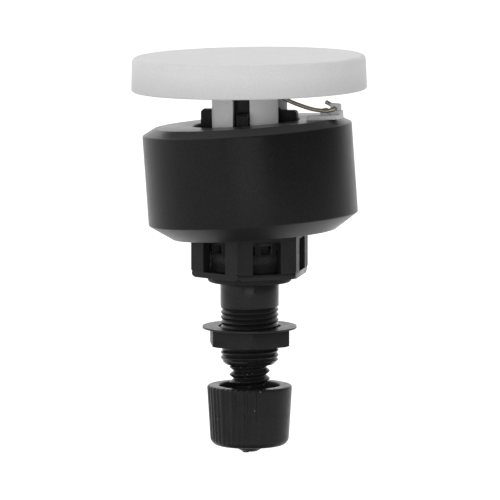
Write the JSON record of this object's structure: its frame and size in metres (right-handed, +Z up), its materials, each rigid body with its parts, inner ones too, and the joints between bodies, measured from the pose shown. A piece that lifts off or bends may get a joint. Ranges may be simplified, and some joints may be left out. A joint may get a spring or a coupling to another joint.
{
  "type": "float-operated automatic drain for a compressed-air filter bowl",
  "caption": "Automatic float drain for a compressed-air filter bowl: ring float under a flat cap, pilot lever, slotted inlet cage, threaded stem with nut, manual drain knob.",
  "frame": {"origin": "on the stem's axis, at the bowl seat, which is the underside of the gasket", "axes": "+Z up along the stem's axis towards the cap; -Y to the front; +X to the right; the lever points 24 degrees to the front of +X"},
  "size_m": [0.0578, 0.0578, 0.0986],
  "materials": {
    "cap_white": "satin moulded",
    "housing_black": "satin moulded",
    "cage_black": "satin moulded",
    "strainer_black": "satin moulded",
    "stem_black": "moulded, slightly glossy",
    "gasket_rubber": "matt",
    "inner_black": "satin moulded",
    "seal_rubber": "smooth",
    "nozzle_brass": "turned",
    "pin_steel": "drawn",
    "spring_steel": "drawn wire",
    "rocker_steel": "pressed",
    "wire_steel": "drawn stainless wire",
    "float_black": "skinned foam, semi-gloss",
    "clip_grey": "satin moulded",
    "piston_plastic": "natural acetal",
    "washer_steel": "black, worn bright at the rim",
    "nut_black": "moulded",
    "screw_black": "moulded, slightly glossy",
    "knob_black": "satin moulded"
  },
  "bodies": {
    "root": {"shield_cap": "cap_white", "guide_tube": "housing_black", "inlet_cage": "cage_black", "strainer": "strainer_black", "stem_body": "stem_black", "bowl_gasket": "gasket_rubber", "cylinder_floor": "inner_black", "stem_seal": "seal_rubber", "pilot_nozzle": "nozzle_brass", "pivot_pin": "pin_steel", "return_spring": "spring_steel"},
    "lever": {"lever_rocker": "rocker_steel", "pilot_pad": "seal_rubber", "lever_wire": "wire_steel"},
    "float": {"float_ring": "float_black", "float_clip": "clip_grey"},
    "piston_group": {"piston": "piston_plastic", "piston_seal": "seal_rubber", "drain_seal": "seal_rubber"},
    "screw_carrier": {"screw_oring": "seal_rubber"},
    "knob_group": {"drain_screw": "screw_black", "drain_knob": "knob_black"},
    "washer": {"bowl_washer": "washer_steel"},
    "nut": {"bowl_nut": "nut_black"}
  },
  "joints": [
    {"name": "lever_lift", "type": "hinge", "parent": "root", "child": "lever", "pos_m": [-0.0042, 0.00187, 0.0472], "axis": [-0.4067, -0.9135, 0], "range_deg": [0, 4.5]},
    {"name": "float_hang", "type": "hinge", "parent": "lever", "child": "float", "pos_m": [0.02042, -0.00909, 0.04335], "axis": [-0.4067, -0.9135, 0], "range_deg": [-8.91, 0]},
    {"name": "piston_lift", "type": "slide", "parent": "root", "child": "piston_group", "axis": [0, 0, 1], "range_m": [0, 0.003], "stiffness_N_per_m": 900, "springref_m": -0.003, "deforming": ["return_spring"]},
    {"name": "knob_turn", "type": "hinge", "parent": "screw_carrier", "child": "knob_group", "pos_m": [0, 0, 0], "axis": [0, 0, 1], "range_deg": [-370, 1100]},
    {"name": "screw_travel", "type": "slide", "parent": "root", "child": "screw_carrier", "axis": [0, 0, 1], "range_m": [-0.00188, 0.00564]},
    {"name": "nut_turn", "type": "hinge", "parent": "washer", "child": "nut", "pos_m": [0, 0, 0], "axis": [0, 0, 1], "range_deg": [-1100, 1100]},
    {"name": "nut_travel", "type": "slide", "parent": "root", "child": "washer", "axis": [0, 0, 1], "range_m": [-0.00375, 0.00375]}
  ],
  "couplings": [
    {"joint": "float_hang", "follows": "lever_lift", "ratio": -1.9778},
    {"joint": "knob_turn", "follows": "screw_travel", "rad_per_m": 3342.1},
    {"joint": "nut_turn", "follows": "nut_travel", "rad_per_m": 5026.5}
  ]
}
